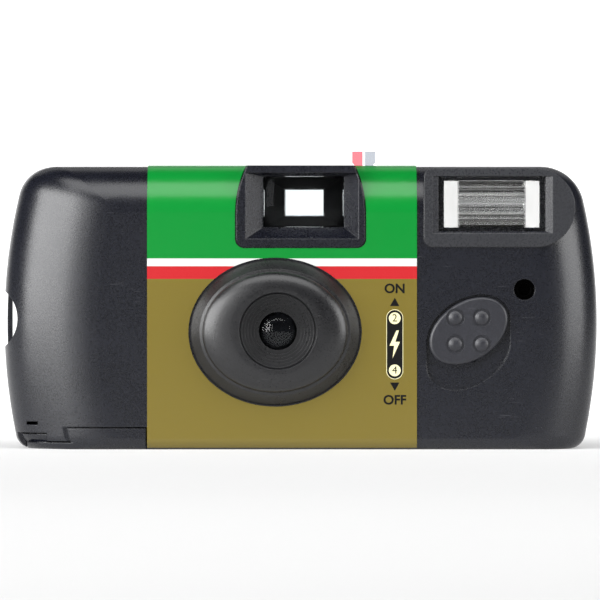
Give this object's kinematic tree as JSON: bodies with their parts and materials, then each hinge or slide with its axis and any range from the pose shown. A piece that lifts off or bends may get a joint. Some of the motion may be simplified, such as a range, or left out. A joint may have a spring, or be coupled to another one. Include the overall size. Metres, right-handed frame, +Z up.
{
  "type": "disposable film camera",
  "caption": "Single-use film camera with built-in flash: black covers, printed sleeve, oval lens surround, sliding flash switch and thumb-wheel film advance.",
  "frame": {"origin": "middle of the underside of the whole camera's box", "axes": "+X to the right seen from the front, +Y from the front to the back, +Z up"},
  "size_m": [0.108, 0.0344, 0.054],
  "materials": {
    "cover_plastic": "fine-grained black moulding",
    "button_plastic": "smooth black moulding",
    "bezel_plastic": "satin black moulding",
    "frame_plastic": "dull black moulding",
    "printed_sleeve": "glossy printed bands of green, white, red and gold",
    "lens_plastic": "clear moulding",
    "guide_plastic": "clear moulding, one prong tinted",
    "spring_steel": "thin rolled strip",
    "contact_brass": "thin rolled strip",
    "mechanism_plastic": "dark grey moulding",
    "wheel_plastic": "black knurled moulding",
    "dial_plastic": "white moulding with plain numbers",
    "cassette_metal": "plain painted sheet",
    "cassette_velvet": "black velvet",
    "spool_plastic": "black moulding",
    "film_base": "brown film",
    "reflector_metal": "bright sheet",
    "tube_glass": "clear glass",
    "board_laminate": "coated laminate",
    "capacitor_can": "sleeved can",
    "transformer_core": "ferrite and tape",
    "coil_copper": "lacquered copper winding",
    "lamp_glass": "small neon bulb",
    "battery_can": "plain jacketed cell",
    "knob_plastic": "satin black moulding"
  },
  "bodies": {
    "camera": {"front_cover": "cover_plastic", "rear_cover": "cover_plastic", "main_frame": "frame_plastic", "label": "printed_sleeve", "lens_bezel": "bezel_plastic", "lens_retainer": "bezel_plastic", "lens_element": "lens_plastic", "aperture_plate": "spring_steel", "shutter_base": "frame_plastic", "blade_spring": "spring_steel", "lever_spring": "spring_steel", "viewfinder_housing": "frame_plastic", "viewfinder_objective": "lens_plastic", "viewfinder_eyepiece": "lens_plastic", "wheel_pawl": "mechanism_plastic", "counter_window": "lens_plastic", "cassette_shell": "cassette_metal", "cassette_felt": "cassette_velvet", "film_strip": "film_base", "flash_window": "lens_plastic", "flash_reflector": "reflector_metal", "flash_tube": "tube_glass", "flash_board": "board_laminate", "flash_capacitor": "capacitor_can", "flash_transformer": "transformer_core", "trigger_coil": "coil_copper", "neon_lamp": "lamp_glass", "battery": "battery_can", "battery_contact_negative": "spring_steel", "battery_contact_positive": "spring_steel", "sync_contact": "contact_brass"},
    "wheel": {"advance_wheel": "wheel_plastic", "cassette_spool": "spool_plastic"},
    "sprocket": {"sprocket_wheel": "mechanism_plastic"},
    "supply": {"film_roll": "film_base", "supply_spool": "spool_plastic"},
    "counter": {"counter_dial": "dial_plastic"},
    "blade": {"shutter_blade": "spring_steel"},
    "striker": {"shutter_lever": "mechanism_plastic"},
    "button": {"shutter_button": "button_plastic"},
    "flash_switch": {"switch_knob": "knob_plastic", "switch_slider": "mechanism_plastic", "switch_leaf": "contact_brass", "light_guide": "guide_plastic"},
    "door": {"cartridge_door": "cover_plastic"}
  },
  "joints": [
    {"name": "wheel_turn", "type": "hinge", "parent": "camera", "child": "wheel", "pos_m": [-0.0368, 0.002, 0.045], "axis": [0, 0, 1], "continuous": true},
    {"name": "sprocket_turn", "type": "hinge", "parent": "camera", "child": "sprocket", "pos_m": [-0.0189, 0.00855, 0.0356], "axis": [0, 0, 1], "continuous": true},
    {"name": "supply_turn", "type": "hinge", "parent": "camera", "child": "supply", "pos_m": [0.03, 0.00575, 0.0215], "axis": [0, 0, 1], "continuous": true},
    {"name": "counter_turn", "type": "hinge", "parent": "camera", "child": "counter", "pos_m": [-0.012, 0.0045, 0.048], "axis": [0, 0, 1], "continuous": true},
    {"name": "striker_swing", "type": "hinge", "parent": "camera", "child": "striker", "pos_m": [-0.0144, -0.00421, 0.044], "axis": [0, 0, 1], "range_deg": [0, 23], "stiffness_Nm_per_rad": 0.0003},
    {"name": "blade_swing", "type": "hinge", "parent": "camera", "child": "blade", "pos_m": [-0.0096, -0.011, 0.0276], "axis": [0, 1, 0], "range_deg": [0, 46]},
    {"name": "button_press", "type": "slide", "parent": "camera", "child": "button", "axis": [0, 0, -1], "range_m": [0, 0.001], "stiffness_N_per_m": 200},
    {"name": "flash_switch_slide", "type": "slide", "parent": "camera", "child": "flash_switch", "axis": [0, 0, -1], "range_m": [0, 0.0041]},
    {"name": "door_open", "type": "hinge", "parent": "camera", "child": "door", "pos_m": [-0.0367, 0.0146, 0.00075], "axis": [1, 0, 0], "range_deg": [0, 95]}
  ],
  "couplings": [
    {"joint": "sprocket_turn", "follows": "wheel_turn", "ratio": 1.3},
    {"joint": "supply_turn", "follows": "wheel_turn", "ratio": 0.88},
    {"joint": "counter_turn", "follows": "wheel_turn", "ratio": -0.0325},
    {"joint": "blade_swing", "follows": "striker_swing", "ratio": 2}
  ]
}
